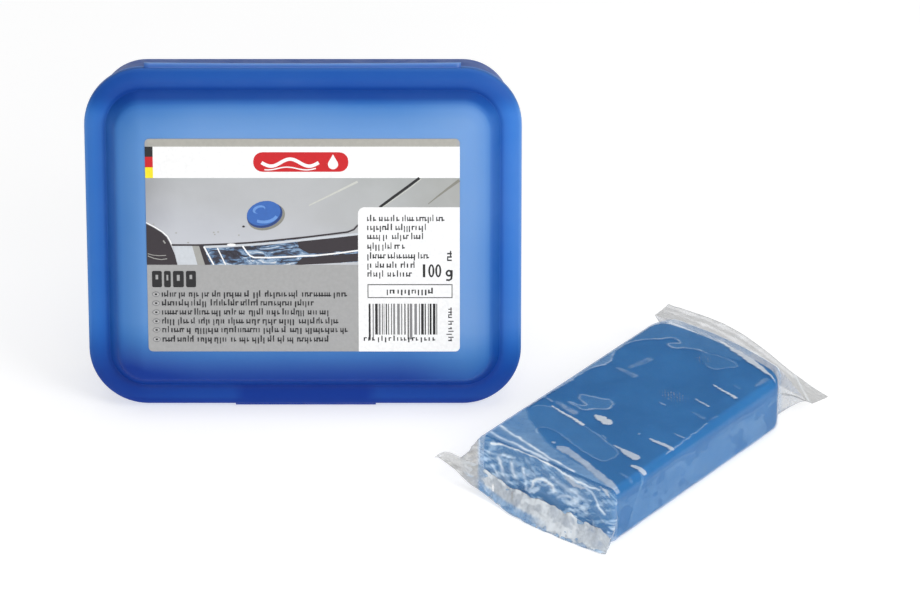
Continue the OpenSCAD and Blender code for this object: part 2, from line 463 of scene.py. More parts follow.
def painted_shade_map(p, inset):
    """Painted shade: the lid darker towards the bottom, along the top and at the left, as light falls from the
    upper right; darker too where the latch lies behind the wall.
    """
    u, v = p[:, 0], p[:, 1]
    flange = smooth((9.8 - inset) / 1.2)
    right = smooth((u - 30) / 26)
    # painted shade: darker towards the bottom, less so at the right
    low = (0.97 - 0.34 * right * (1 - flange)) * (1 - smooth((v - 8) / (24 - 3 * right)))
    low = low * (1 - 0.15 * flange * smooth((v - 1) / 2))
    latch = smooth((23.4 - 0.25 * v - np.abs(u)) / 1.2) * smooth((7.4 - v) / 1.0)
    # painted shade: darker along the top
    high = 0.60 * smooth((v - 97) / 8) * flange
    high = high + 0.14 * smooth((v - 88) / 16) * (1 - flange) * (1 - right)
    # painted shade: darker at the left, away from the light
    left = (0.14 * smooth((-30 - u) / 26) + 0.08 * smooth((-50 - u) / 6)) * (1 - 0.5 * flange)
    return np.clip(low + 0.45 * latch + high + left, 0, 0.99)


pts, faces, inset = shell(lid_out, lid_in, lid_warp)
make("lid_skin", case_pts(pts), faces, lid_mat, "lid", {"inset": inset, "shade": painted_shade_map(pts, inset)},
    slot="lid_plastic", replaces=["lid_shell"])

tub_out = fine([
    (0, -0.1), (0, -1.2), (0.25, -1.5), (1.5, -1.5), (1.95, -1.65), (2.05, -2.2), (2.7, -12), (3.4, -21.5),
    (3.75, -23.7), (4.6, -25.3), (6.2, -25.95), (8.2, -26), (9.6, -26), (10, -25.75), (10.6, -25.6),
    (12, -25.6), (19, -25.6)])
tub_in = fine([
    (19, -24.3), (12, -24.3), (8.2, -24.55), (6.9, -24.4), (5.7, -23.8), (5, -22.6), (4.2, -12),
    (3.5, -1.5), (3.4, -0.5), (3.4, -0.1)])
pts, faces, inset = shell(tub_out, tub_in)
make("tub_skin", case_pts(pts), faces, tub_mat, "case_base", {"inset": inset, "shade": np.zeros(len(pts))},
    slot="tub_plastic", replaces=["base_tub"])

for name in ("catch_ledge", "catch_bead", "lid_plug_rim", "latch_tongue"):
    mesh = frame["nodes"][name].data
    mesh.materials.clear()
    mesh.materials.append(tongue_mat if name == "latch_tongue" else fitting_mat)

# ---------------------------------------------------------------- living hinge
def hinge_material():
    """Polypropylene, paler along the crest of its fold: partly stretched plastic, partly a painted highlight."""
    m = Nodes("hinge_plastic_stretch_and_highlight")
    # paler at the fold's crest: partly stretched plastic, partly a painted highlight
    col = m.ramp(m.attr("bend"), [
        (0.0, srgb(40, 88, 166)), (0.3, srgb(60, 110, 186)), (0.5, srgb(128, 164, 216)),
        (0.62, srgb(96, 140, 206)), (0.85, srgb(52, 100, 178)), (1.0, srgb(40, 90, 170))])
    p = m.principled(Base_Color=m.mix(m.vary(60, 3, 0, 0.25), col, srgb(70, 116, 190)),
                     Roughness=m.vary(200, 2, 0.28, 0.42),
                     Normal=m.bump(m.noise(700, 3, 0.6, (0.15, 1, 1)), 0.4, 0.0001),
                     Subsurface_Weight=0.1, Subsurface_Scale=0.002)
    return m.finish(p.outputs[0])


# its section in v and w: the outer face bends round the hinge line, the inner face follows it back
section, bends = [], []
for k in range(13):
    a = math.radians(-90 + 180 * k / 12)
    section.append((HINGE_V + 0.5 * math.cos(a) * 0.96, 0.62 * math.sin(a)))
    bends.append(0.25 + 0.5 * k / 12)
outer = [(112.7, -1.25), (113.4, -1.2)] + section + [(113.4, 1.2), (112.7, 1.25)]
inner = [
    (112.7, 0.75), (113.3, 0.7), (113.85, 0.3), (114, 0), (113.85, -0.3), (113.3, -0.7), (112.7, -0.75)]
loop = np.array(outer + inner)
bend_of = [0.0, 0.12] + bends + [0.88, 1.0] + [1.0, 0.88, 0.7, 0.5, 0.3, 0.12, 0.0]
HINGE_HALF = 50.5
stations = np.linspace(-HINGE_HALF, HINGE_HALF, 61)
pts, bend = [], []
for u in stations:
    bow = 0.28 * (1 - (u / HINGE_HALF) ** 2)
    for (v, w), b in zip(loop, bend_of):
        pts.append((u, v - bow * smooth((v - 113.2) / 0.6), w))
        bend.append(b)
n = len(loop)
faces = grid_faces(len(stations), n, True)
faces += [tuple(range(n))[::-1], tuple(range((len(stations) - 1) * n, len(stations) * n))]
hinge_strip = make("hinge_strip", case_pts(pts), faces, hinge_material(), None, {"bend": bend},
    slot="hinge_plastic", replaces=["living_hinge_web", "base_hinge_leaf", "lid_hinge_leaf"])
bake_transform(hinge_strip)

# ---------------------------------------------------------------- label
LABEL_L, LABEL_H, LABEL_W = 100.3, 71.3, 10.35  # its length and height, and w at its face
LABEL_TOP = CENTRE[1] + LABEL_H / 2


def on_label(x, y, w):
    """x to the right and y down from the label's top left corner, in the case frame."""
    return (x - LABEL_L / 2, LABEL_TOP - y, w)


def ink_mat(m, col, low=0.36, **more):
    """Ends a print material with the label's satin finish."""
    p = m.principled(Base_Color=col, Roughness=m.vary(240, 2, low, 0.48), Specular_IOR_Level=0.4, **more)
    return m.finish(p.outputs[0])


def plain(name, *colour):
    """Printed ink on satin stock: one colour with a faint uneven density."""
    m = Nodes("print_" + name)
    c = srgb(*colour)
    dark = tuple(0.912 * x for x in c)
    return ink_mat(m, m.mix(m.vary(900, 3, 0, 1), c, dark), 0.38,
        Normal=m.bump(m.noise(3000, 1), 0.05, 0.00003))


def bonnet_mat():
    """The printed car's silver paint, shaded down and across the label."""
    m = Nodes("print_silver_bonnet")
    t = m.math("ADD", m.math("MULTIPLY", m.attr("gy"), 0.9), m.math("MULTIPLY", m.attr("gx"), -0.25))
    col = m.ramp(t, [
        (0.0, srgb(160, 163, 163)), (0.2, srgb(168, 170, 172)), (0.32, srgb(184, 187, 195)),
        (0.42, srgb(200, 203, 212)), (0.5, srgb(190, 193, 200))])
    warm = m.ramp(m.attr("gx"), [
        (0.0, srgb(140, 140, 146)), (0.10, srgb(186, 188, 192)), (0.5, srgb(200, 201, 204)),
        (0.8, srgb(178, 180, 178)), (1.0, srgb(160, 158, 150))])
    cloud = m.remap(m.noise(70, 4), 0.35, 0.7, 0, 0.12)
    return ink_mat(m, m.mix(cloud, m.mix(0.45, col, warm), srgb(225, 228, 232)))


def lamp_mat():
    """Broken light and dark patches, as in a headlamp."""
    m = Nodes("print_headlamp")
    return ink_mat(m, m.ramp(m.noise(170, 4, 0.65, (1, 1, 3.2), 1.2), [
        (0.30, srgb(28, 26, 34)), (0.44, srgb(52, 52, 66)), (0.52, srgb(92, 124, 160)),
        (0.58, srgb(150, 172, 196)), (0.66, srgb(226, 230, 234)), (0.72, srgb(84, 84, 90))]))


INKS = {name: plain(name, *colour) for name, colour in {
    "panel": (168, 168, 168), "strip": (174, 172, 165), "white": (250, 250, 250), "black": (28, 27, 30),
    "red": (206, 6, 22), "yellow": (250, 232, 24), "dark": (50, 43, 49), "light": (206, 211, 217),
    "mid": (166, 166, 162), "puck": (52, 104, 184), "puck_dark": (34, 66, 128), "puck_light": (104, 152, 220),
    "text": (34, 34, 38), "ring": (120, 120, 124), "halo": (182, 182, 182), "crease": (138, 137, 128),
    "haze": (206, 207, 200), "bars": (134, 134, 136)}.items()}
INKS.update(bonnet=bonnet_mat(), lamp=lamp_mat())
INK_ORDER = list(INKS)
ink = {"pts": [], "faces": [], "mats": [], "gx": [], "gy": []}


def prism(poly, colour, level):
    """A printed shape, as a very thin raised plate; poly is x and y on the label."""
    n, s = len(poly), len(ink["pts"])
    area = sum(a[0] * b[1] - b[0] * a[1] for a, b in zip(poly, poly[1:] + poly[:1]))
    if area > 0:
        poly = poly[::-1]
    for w in (LABEL_W + 0.02 * level + 0.018, LABEL_W + 0.004):
        for x, y in poly:
            ink["pts"].append(on_label(x, y, w))
            ink["gx"].append(x / LABEL_L)
            ink["gy"].append(y / LABEL_H)
    ink["faces"].append(tuple(range(s, s + n)))
    ink["faces"].append(tuple(range(s + 2 * n - 1, s + n - 1, -1)))
    ink["faces"] += [(s + (j + 1) % n, s + j, s + n + j, s + n + (j + 1) % n) for j in range(n)]
    ink["mats"] += [INK_ORDER.index(colour)] * (n + 2)


def box(x0, y0, x1, y1, colour, level):
    """A printed rectangle."""
    prism([(x0, y0), (x1, y0), (x1, y1), (x0, y1)], colour, level)


def arc_pts(cx, cy, rx, ry, a0, a1, n):
    angles = [math.radians(a0 + (a1 - a0) * i / n) for i in range(n + 1)]
    return [(cx + rx * math.cos(a), cy + ry * math.sin(a)) for a in angles]


def round_box(x0, y0, x1, y1, radii, colour, level):
    """radii: top left, top right, bottom right, bottom left."""
    tl, tr, br, bl = radii
    poly = []
    for (cx, cy, r, a) in (
            (x0 + tl, y0 + tl, tl, 180), (x1 - tr, y0 + tr, tr, 270), (x1 - br, y1 - br, br, 0),
            (x0 + bl, y1 - bl, bl, 90)):
        poly += arc_pts(cx, cy, r, r, a, a + 90, 5) if r > 0 else [(cx, cy)]
    prism(poly, colour, level)


def ellipse(cx, cy, rx, ry, colour, level, tilt=0.0, n=28):
    ct, st = math.cos(math.radians(tilt)), math.sin(math.radians(tilt))
    rim = arc_pts(0, 0, rx, ry, 0, 360 - 360 / n, n - 1)
    prism([(cx + x * ct - y * st, cy + x * st + y * ct) for x, y in rim], colour, level)


def stroke(pts, width, colour, level, taper=1.0):
    """A printed line of even or tapering width."""
    p = np.array(pts, float)
    d = np.gradient(p, axis=0)
    d /= np.linalg.norm(d, axis=1)[:, None]
    nrm = np.column_stack([-d[:, 1], d[:, 0]])
    half = (np.linspace(1, taper, len(p)) * width / 2)[:, None]
    prism([tuple(q) for q in np.vstack([p + nrm * half, (p - nrm * half)[::-1]])], colour, level)


def greek(x0, x1, y, size, seed, colour="text", level=3, weight=0.3, gap=0.62, up=True):
    """A line of meaningless marks with the tone of small print: no letter or word is drawn.

    With up false the line runs up the label, and x0, x1 and y are its bottom, top and middle."""
    r = np.random.default_rng(seed)
    x = x0
    while x < x1 - size * 0.5:
        word = x + size * r.uniform(1.1, 4.2)
        end = min(word, x1)
        while x < end - size * 0.2:
            w = size * weight * r.uniform(0.8, 1.3)
            kind = r.integers(0, 6)
            top = size * (1.5 if kind == 0 else 1.0)
            low = size * (0.45 if kind == 1 else 0)
            parts = [(x, y - top + size / 2, x + w, y + size / 2 + low)]
            if kind > 2:
                start, end_of = (0, 0.26) if kind == 3 else (0.62, 0.9)
                up_edge = y - size / 2
                parts.append((x + w * 0.6, up_edge + size * start, x + w * 2.3, up_edge + size * end_of))
            for a, b, c, d in parts:
                if up:
                    box(a, b, c, d, colour, level)
                else:
                    box(b, x0 + x1 - c, d, x0 + x1 - a, colour, level)
            x += w + size * r.uniform(0.3, 0.5) * gap * 2
        x = end + size * 0.55


def label_bands():
    """The white band along the top, with a three-colour tag at its left end."""
    box(0, 2.6, LABEL_L, 12.99, "white", 1)
    for y0, y1, colour in ((2.6, 5.96, "black"), (5.96, 9.44, "red"), (9.44, 12.99, "yellow")):
        box(0, y0, 2.51, y1, colour, 2)


def label_mark():
    """A generic mark: a red capsule with a pale wave and a drop."""
    round_box(34.51, 4.43, 64.79, 10.94, (2.93, 2.93, 2.93, 2.93), "red", 2)
    for y, height, shift, start, width in ((7.88, 1.17, 0, 0, 1.11), (9.83, 0.46, 0.5, 0.05, 0.39)):
        span = np.linspace(start, 1 - start, 40)
        stroke([(37.12 + t * 18.23, y + height * math.sin(t * 3 * math.pi + shift)) for t in span], width,
            "white", 3)
    prism([(59.91, 5.14)] + arc_pts(59.91, 8.47, 1.63, 1.63, -25, 205, 16), "white", 3)


def label_picture():
    """A silver bonnet edge with a lamp under it, and a blue puck."""
    box(0, 12.99, LABEL_L, 42, "bonnet", 1)
    prism([(0, 28.23), (2.51, 29.6), (4.92, 31.16), (6.45, 32.69), (7.33, 34.38), (8.01, 35.98),
        (8.95, 38.42), (9.77, 42), (0, 42)], "dark", 2)
    stroke([(0, 27.87), (2.57, 29.27), (5.08, 30.9), (6.71, 32.43), (7.62, 34.19), (8.21, 35.82)], 0.36,
        "white", 3)
    stroke([(0.33, 38.26), (1.95, 38.75), (3.91, 38.94), (6.19, 38.84)], 0.23, "mid", 3)
    stroke([(0.33, 39.01), (2.28, 39.85), (4.56, 40.24), (6.51, 39.98)], 0.26, "mid", 3)
    stroke([(5.37, 33.86), (6.02, 34.84)], 0.42, "mid", 3)
    prism([(8.6, 35.75), (14.59, 35.62), (16.21, 42), (9.96, 42)], "light", 2)
    prism([(14.59, 35.62), (17, 35.62), (18.69, 42), (16.21, 42)], "mid", 2)
    prism([(16.87, 35.65), (67.72, 31.91), (67.72, 41.03), (52.1, 41.87), (39.07, 42), (18.75, 42)], "lamp",
        2)
    prism([(16.8, 35.65), (18.1, 35.56), (20.32, 42), (18.62, 42)], "dark", 3)
    prism([(48.19, 33.93), (67.72, 31.65), (67.72, 36.96), (57.31, 37.93), (52.1, 38.26), (48.84, 36.47)],
        "dark", 3)
    prism([(49.82, 39.56), (67.72, 38.16), (67.72, 40.86), (57.31, 41.61), (49.49, 42), (47.54, 42)],
        "dark", 3)
    stroke([(8.01, 35.36), (16.28, 35.39), (25.82, 35.07), (33.7, 34.55), (42.33, 33.67), (51.44, 32.69),
        (58.61, 31.78), (64.47, 31), (66.42, 30.15), (67.72, 28.65)], 0.55, "dark", 4)
    stroke([(18.56, 36.01), (25.72, 35.75), (33.86, 35.23), (42.33, 34.51), (51.44, 33.5), (60.24, 32.53),
        (67.72, 31.65)], 0.78, "light", 4)
    stroke([(18.33, 35.85), (19.86, 38.91), (21.42, 42)], 0.49, "white", 5)
    stroke([(22.66, 36.34), (23.9, 39.07), (25.2, 42)], 0.39, "white", 5)
    stroke([(30.7, 35.62), (32.1, 37.77), (33.08, 38.94), (34.35, 39.53), (39.07, 39.59), (47.21, 39.2),
        (55.35, 38.75), (61.86, 38.03), (67.72, 37.18)], 0.49, "white", 5)
    ellipse(27.19, 35.3, 1.43, 0.49, "white", 5)
    stroke([(87.42, 12.99), (83.35, 16.15), (79.12, 19.34), (74.69, 22.79)], 0.88, "black", 2)
    stroke([(88.11, 13.22), (84, 16.61), (79.77, 19.73), (75.47, 22.79)], 0.26, "haze", 2)
    stroke([(67.72, 14.2), (62.52, 16.87), (57.31, 19.54), (52.1, 22.14)], 0.72, "haze", 2, 0.5)
    stroke([(100.15, 13.74), (96.38, 16.61), (93.12, 19.21), (90.19, 21.65)], 0.98, "crease", 2, 0.25)
    for x, y in ((9.54, 31.32), (13.32, 34.58), (21.88, 31.84), (21.59, 31.13), (22.99, 31), (29.6, 32.07),
            (2.41, 28.39)):
        ellipse(x, y, 0.29, 0.24, "mid", 2, n=10)
    ellipse(31.13, 29.17, 0.46, 0.36, "dark", 2, n=12)
    ellipse(38.42, 25.92, 6.19, 4.36, "crease", 2, -18)
    ellipse(37.93, 25.27, 5.86, 4.23, "puck_dark", 3, -18)
    ellipse(37.64, 24.75, 5.54, 3.97, "puck", 4, -18)
    prism(arc_pts(37.64, 24.81, 4.82, 3.32, 20, 118, 14) + arc_pts(37.51, 24.55, 4.1, 2.6, 118, 20, 14),
        "puck_light", 5)
    ellipse(36.14, 23.44, 2.08, 1.27, "puck_light", 5, -18)
    ellipse(36.47, 23.77, 1.6, 0.94, "puck", 6, -18)


def text_panel():
    """A heading of plain blocks and six greeked lines, each led by a small oval."""
    r = np.random.default_rng(11)
    x = 1.56
    for wdt in (3.13, 2.15, 3.45, 3.19):
        round_box(x, 44.09, x + wdt, 49.56, (0.52, 0.52, 0.52, 0.52), "black", 3)
        box(x + wdt * 0.36, 45.39, x + wdt * 0.62, 46.76 + r.uniform(0, 0.98), "panel", 4)
        x += wdt + 0.72
    for k, (y, x1) in enumerate((
            (51.93, 64.14), (54.93, 53.17), (57.99, 58.48), (61.02, 60.85), (63.98, 64.14), (67.17, 59.49))):
        ellipse(2.7, y, 1.24, 0.85, "ring", 3, n=18)
        ellipse(2.7, y, 1.04, 0.65, "halo", 4, n=18)
        box(2.34, y - 0.29, 3.06, y + 0.29, "text", 5)
        greek(4.56, x1, y + 0.1, 1.4, 40 + k, "text", 3, 0.25, 0.42)


def information_panel():
    """The white panel at the right: greeked lines, the weight, a boxed line and bars."""
    round_box(67.72, 22.73, LABEL_L, 71.27, (2.12, 0, 1.5, 0), "white", 7)
    for k, (y, x1) in enumerate((
            (26.54, 95.99), (29.53, 89.83), (32.56, 88.63), (35.82, 82.8), (39.07, 90.52), (42.17, 86.58),
            (45.16, 84.85))):
        greek(70.66, x1, y + 0.1, 1.43, 60 + k, "text", 8, 0.24, 0.46)
    # generic numbers for the weight: a one, two noughts and a unit mark
    box(88.43, 41.81, 89.21, 46.17, "black", 8)
    for cx in (91.17, 93.38):
        ellipse(cx, 43.99, 0.98, 2.21, "black", 8, n=20)
        ellipse(cx, 43.99, 0.37, 1.6, "white", 9, n=20)
    ellipse(96.83, 44.8, 1.11, 1.17, "black", 8, n=18)
    ellipse(96.77, 44.8, 0.42, 0.55, "white", 9, n=18)
    stroke([(97.68, 43.76), (97.71, 45.58), (97.55, 46.69), (96.83, 47.18), (95.92, 47.02)], 0.62, "black", 9)
    greek(37.77, 40.7, 96.96, 1.5, 81, "text", 8, 0.34, 0.5, up=False)
    greek(56.46, 67.76, 97.16, 1.17, 82, "text", 8, 0.3, 0.6, up=False)
    box(70.66, 48.51, 97.94, 53.17, "text", 8)
    box(70.95, 48.81, 97.65, 52.88, "white", 9)
    greek(76.84, 91.95, 50.99, 1.3, 83, "text", 10, 0.34)
    # random bars where a barcode would be, the guard bars taller
    x, k = 70.98, 0
    r = np.random.default_rng(5)
    while x < 93.64:
        wdt = float(r.choice([0.26, 0.39, 0.62, 0.85]))
        low = 67.14 if k in (0, 1, 13, 14) or x > 92.96 else 65.54
        box(x, 55.09, min(x + wdt, 93.77), low, "bars" if r.random() < 0.3 else "black", 8)
        x += wdt + float(r.choice([0.29, 0.42, 0.65]))
        k += 1
    greek(69.35, 92.96, 67.04, 1.17, 84, "text", 9, 0.3, 0.9)


label_bands()
label_mark()
label_picture()
text_panel()
information_panel()

# the stock itself: a thin sheet with a soft edge, and the printed plates on it
R_LABEL = 1.5
corners = ((R_LABEL, R_LABEL, 180), (LABEL_L - R_LABEL, R_LABEL, 270),
           (LABEL_L - R_LABEL, LABEL_H - R_LABEL, 0), (R_LABEL, LABEL_H - R_LABEL, 90))
rim = np.array([on_label(x, y, 0)[:2] for cx, cy, a in corners for x,
    y in arc_pts(cx, cy, R_LABEL, R_LABEL, a, a + 90, 6)])
mid = rim.mean(0)
rings = [np.column_stack([(rim - mid) * s + mid, np.full(len(rim), w)])
         for s, w in ((1.0, LABEL_W - 0.145), (1.0, LABEL_W - 0.02), (0.9985, LABEL_W))]
pts = np.vstack(rings)
n = len(rim)
faces = grid_faces(3, n, True, 0, True) + [tuple(range(2 * n, 3 * n))[::-1], tuple(range(n))]
make("label_stock", case_pts(pts), faces, INKS["panel"], "lid", smooth_faces=False, slot="label_print",
    replaces=["label"])
box(0.98, 0.13, 99.31, 2.6, "strip", 1)
make("label_print", case_pts(ink["pts"]), ink["faces"], [INKS[k] for k in INK_ORDER], "lid",
     {"gx": ink["gx"], "gy": ink["gy"]}, False, ink["mats"], "label_print")

# ---------------------------------------------------------------- clay block
CL, CW, CH = 91.3 / 2, 54.3 / 2, 18.8  # half its length, half its width, and its height
CZ = 0.3  # its underside, just inside the film
R_NEAR, R_FAR, R_EDGE = 2.4, 6.0, 3.0


def bowed(x, y):
    """The block's far end bows outwards, most left of its middle."""
    return x + (3.2 - 3.4 * ((y - 8) / 28) ** 2) * smooth((x - 34) / 12)


def plan_point(a, b):
    """Maps a square, -1 to 1, to the block's plan with rounded corners."""
    x, y = a * CL, b * CW
    r = np.where(a > 0, np.where(b < 0, R_FAR + 1.5, R_FAR), R_NEAR)
    qx, qy = np.abs(x) - (CL - r), np.abs(y) - (CW - r)
    corner = (qx > 0) & (qy > 0)
    m = np.maximum(qx, qy)
    h = np.hypot(qx, qy) + 1e-9
    nx, ny = np.where(corner, qx / h * m, qx), np.where(corner, qy / h * m, qy)
    edge = np.where(corner, r - m, np.minimum(-qx + r, -qy + r))
    return np.sign(x) * (CL - r + nx), np.sign(y) * (CW - r + ny), np.maximum(edge, 0)


def clay_mesh():
    """Top and underside as grids, joined by rings round the sides. Returns points and faces."""
    nx, ny = 150, 100
    a = np.linspace(-1, 1, nx)
    a = np.sign(a) * (1 - (1 - np.abs(a)) ** 1.15)
    b = np.linspace(-1, 1, ny)
    b = np.sign(b) * (1 - (1 - np.abs(b)) ** 1.15)
    A, B = np.meshgrid(a, b, indexing="ij")
    x, y, e = plan_point(A, B)
    x = bowed(x, y)
    drop = np.where(e < R_EDGE, R_EDGE - np.sqrt(np.maximum(R_EDGE**2 - (R_EDGE - e) ** 2, 0)), 0)
    dent = 0.22 * (fbm(x / 14, y / 14, 0, 5, 3) - 0.5) * smooth(e / 3) * 2
    top = np.column_stack([x.ravel(), y.ravel(), (CZ + CH - drop + dent).ravel()])
    low = np.column_stack([x.ravel(), y.ravel(), (CZ + drop).ravel()])
    faces = grid_faces(nx, ny, False, 0) + grid_faces(nx, ny, False, nx * ny, True)
    border = [i * ny for i in range(nx)] + [(nx - 1) * ny + j for j in range(1, ny)]
    border += [i * ny + ny - 1 for i in range(nx - 2, -1, -1)] + list(range(ny - 2, 0, -1))
    pts = [top, low]
    rows, base = [np.array(border)], 2 * nx * ny
    levels = np.linspace(0, 1, 16)[1:-1]
    bx, by = x.ravel()[border], y.ravel()[border]
    c = np.hypot(bx, by) + 1e-9
    for k, t in enumerate(levels):
        z = CZ + CH - R_EDGE - t * (CH - 2 * R_EDGE)
        push = 0.25 * (fbm((bx + by) / 11, t * 1.4, 0, 8, 3) - 0.5) * 2 * math.sin(math.pi * t)
        pts.append(np.column_stack([bx * (1 - push / c), by * (1 - push / c), np.full(len(bx), z)]))
        rows.append(base + k * len(border) + np.arange(len(border)))
    rows.append(np.array(border) + nx * ny)
    for r0, r1 in zip(rows[:-1], rows[1:]):
        for j in range(len(border)):
            k = (j + 1) % len(border)
            faces.append((r0[j], r1[j], r1[k], r0[k]))
    return np.vstack(pts), faces


def clay_material():
    """Satin blue clay with soft clouds and fine pale flecks."""
    m = Nodes("clay_satin_blue")
    cloud = m.noise(55, 4, 0.55, (1, 1, 1), 0.4)
    fleck = m.remap(m.noise(1400, 2, 0.7), 0.62, 0.75, 0, 0.25)
    col = m.mix(m.remap(cloud, 0.35, 0.68, 0, 1), srgb(36, 116, 178), srgb(48, 128, 190))
    grain = m.bump(m.noise(240, 4, 0.6), 0.12, 0.0003, m.bump(cloud, 0.15, 0.0012))
    p = m.principled(Base_Color=m.mix(fleck, col, srgb(96, 150, 202)), Roughness=m.vary(120, 3, 0.38, 0.56),
                     Normal=grain, Subsurface_Weight=0.12, Subsurface_Scale=0.002, Specular_IOR_Level=0.4)
    return m.finish(m.subsurface(p, 0.2, 0.5, 1.0).outputs[0])


pts, faces = clay_mesh()
make("clay_bar", pack_pts(pts), faces, clay_material(), "clay_pack", slot="clay", replaces=["clay_block"])

# ---------------------------------------------------------------- clear film
# Outlines of where the film has let go of the clay, in pack-frame millimetres.
EDGE_A = [
    (-20, 26.6), (-17.9, 26), (-16.4, 24.4), (-15.1, 25.4), (-13.6, 25.3), (-10, 24.6), (-6.7, 24.4),
    (-2, 24.6), (2.6, 24.4), (6.1, 24.2), (8.9, 23.4), (11.1, 22.2), (13.3, 21.9), (15.1, 22), (17, 23.4),
    (20.1, 24.4), (24.5, 24.5), (28.9, 24.1), (32, 21.9), (35.1, 18.8), (36.9, 17), (38.3, 16.3),
    (39.3, 15), (39.2, 13.4), (38.5, 12), (37.7, 11)]
EDGE_A2 = [
    (37.7, 11), (36.3, 12.8), (35.1, 14.2), (34, 13.6), (33.8, 11.9), (34.4, 10.4), (35.9, 9.2), (37, 7.5),
    (37.7, 5.4), (38.1, 3.2)]
EDGE_A3 = [
    (32.1, -3.2), (31.4, -5.6), (32.3, -8.4), (34.9, -9.4), (36.1, -11.6), (37.9, -12.2), (39.3, -9.4),
    (39.5, -5), (38.7, -1.6), (38.1, 3.2)]
ZONE_A = EDGE_A + EDGE_A2 + [(39.5, -1.0), (40.7, -11.0), (50.0, -11.0), (50.0, 29.0), (-21.0, 29.0)]
ZONE_A3 = EDGE_A3 + [(36.3, 1.8), (33.9, 0.2)]
ZONE_B = [
    (-20.4, 29.7), (-25.1, 24.8), (-29.9, 20), (-33, 14.4), (-37.1, 7.5), (-38.4, 3.8), (-39.9, -4),
    (-41.4, -11), (-44.3, -22), (-48, -29), (-49.5, 29.7)]
EDGE_C = [
    (-23.6, 23.8), (-21.9, 23.4), (-20.5, 21.9), (-19.9, 19.8), (-20.1, 16.5), (-20.9, 10), (-22.1, 4),
    (-23.6, -2.5), (-25.1, -6.5), (-26.1, -10.4), (-27.1, -13), (-28.5, -14.2), (-30.7, -14.6),
    (-33.9, -14.4), (-35.2, -13), (-35.2, -10.6), (-34.7, -7.6), (-33.9, -3), (-33.1, 0.2), (-31.7, 4),
    (-30.5, 7.5), (-30.2, 11), (-30.7, 13.4), (-31.9, 14.6), (-33.5, 14.6), (-34.8, 13)]
ZONE_C = EDGE_C[:-2] + [(-32.9, 15.0), (-29.7, 20.0), (-26.1, 23.6)]
LOOP = [
    (-8.9, 16.6), (-7.8, 16.5), (-7.1, 15.2), (-6.5, 12.4), (-5.5, 9.4), (-4.6, 7.8), (-5.1, 5.8),
    (-6.7, 4.7), (-8.9, 4.4), (-10.5, 5.6), (-11.7, 7.6), (-13.1, 8.9), (-14.7, 9.8), (-14.9, 12),
    (-14.1, 15), (-13.6, 17.4), (-13.3, 14.4), (-12.7, 12), (-11.9, 11.2), (-11.3, 12.2), (-10.5, 14.6),
    (-9.9, 16)]
BAND = [
    (-37.4, 3.6), (-36.1, 1.6), (-35.8, -0.4), (-37.1, -5), (-39.5, -13), (-41.9, -20.6), (-44.1, -26.6),
    (-47.4, -28.6), (-45.1, -21.6), (-42.1, -12.6), (-39.9, -6.3), (-38.8, -0.4), (-38.5, 2.6)]
# long glints across the width: two ends, width, strength
STREAKS = [
    ((-19.3, 19.4), (-21.9, 4.7), 1.05, 1), ((-16.1, 20.2), (-17.8, 11.4), 2.2, 0.42),
    ((-25.5, -10), (-25.6, -12.9), 1, 0.8), ((-25.9, -13.8), (-26.9, -19.6), 2.6, 0.85),
    ((-31.4, -21.8), (-31.4, -26.2), 1.9, 0.85), ((-15.2, -16.6), (-15.6, -25.4), 1.5, 0.85),
    ((-7.8, -20.6), (-8, -24.7), 0.7, 0.5), ((23.6, -12.5), (21.7, -23), 0.95, 0.95),
    ((12.9, -13.4), (12, -19.4), 0.75, 0.75), ((6.1, -17.5), (5.2, -22.6), 1, 0.3),
    ((4.2, -5.6), (3.8, -8.1), 0.8, 0.5), ((27.8, -18.2), (27.1, -20.4), 0.7, 0.4),
    ((12.8, 17.6), (12.2, 10.4), 2, 0.36), ((15.1, 14.6), (23.3, 12.9), 2.4, 0.34),
    ((-36.1, 6.2), (-36.2, 5.5), 1.1, 0.7), ((-15.2, -11.8), (-15.2, -12.1), 0.9, 0.6),
    ((-37.3, -21.8), (-37.9, -26.4), 1.3, 0.28), ((-23.1, -3.4), (-23.9, -5.6), 0.6, 0.5),
    ((-24.7, -5.2), (-25.4, -7.2), 0.6, 0.5), ((-16.4, 24), (-16.7, 21.4), 0.8, 0.5),
    ((31.5, -23.6), (36.5, -23.9), 1.8, 0.35), ((4.5, -24.6), (9.1, -24.9), 0.5, 0.35)]
BLOB = [
    (-14.9, 5.6), (-13.9, 3.6), (-13.4, 1.9), (-14.7, 1.1), (-14.2, -0.4), (-15.9, -2.3), (-16.9, -1.6),
    (-17.5, 0.4), (-16.5, 1.6), (-16.5, 3.6), (-15.7, 5.4)]
CREASE_R = [
    (-37.4, -27.2), (-28.5, -26.6), (-21.1, -26.2), (-12.5, -25.8), (-6.8, -25.5), (-1.5, -25.3),
    (3.5, -25.2)]
NEAR_1 = [(-43.7, 24.6), (-44.3, 21.3), (-44.6, 13.8), (-45.1, 6.0), (-45.7, 0.5)]
NEAR_2 = [
    (-39.1, 24.6), (-40.2, 20), (-41.1, 13.8), (-42.5, 8), (-43.6, 4.6), (-44.5, 0), (-45.1, -6.5),
    (-45.7, -10)]
# a painted highlight along the top of the far end
CRESCENT = [
    (47, 4), (46.2, -3), (45.2, -9.5), (43.4, -16), (38.6, -26.6), (40.2, -20.2), (41.8, -14), (43.9, -7),
    (45.6, -1)]


# outline, haze and softness of its edge
ZONES = ((ZONE_A, 0.46, 0.5), (ZONE_A3, 0.36, 0.4), (ZONE_B, 0.50, 0.9), (ZONE_C, 0.17, 0.3),
    (LOOP, 0.24, 0.3),
         (BAND, 0.62, 0.35))
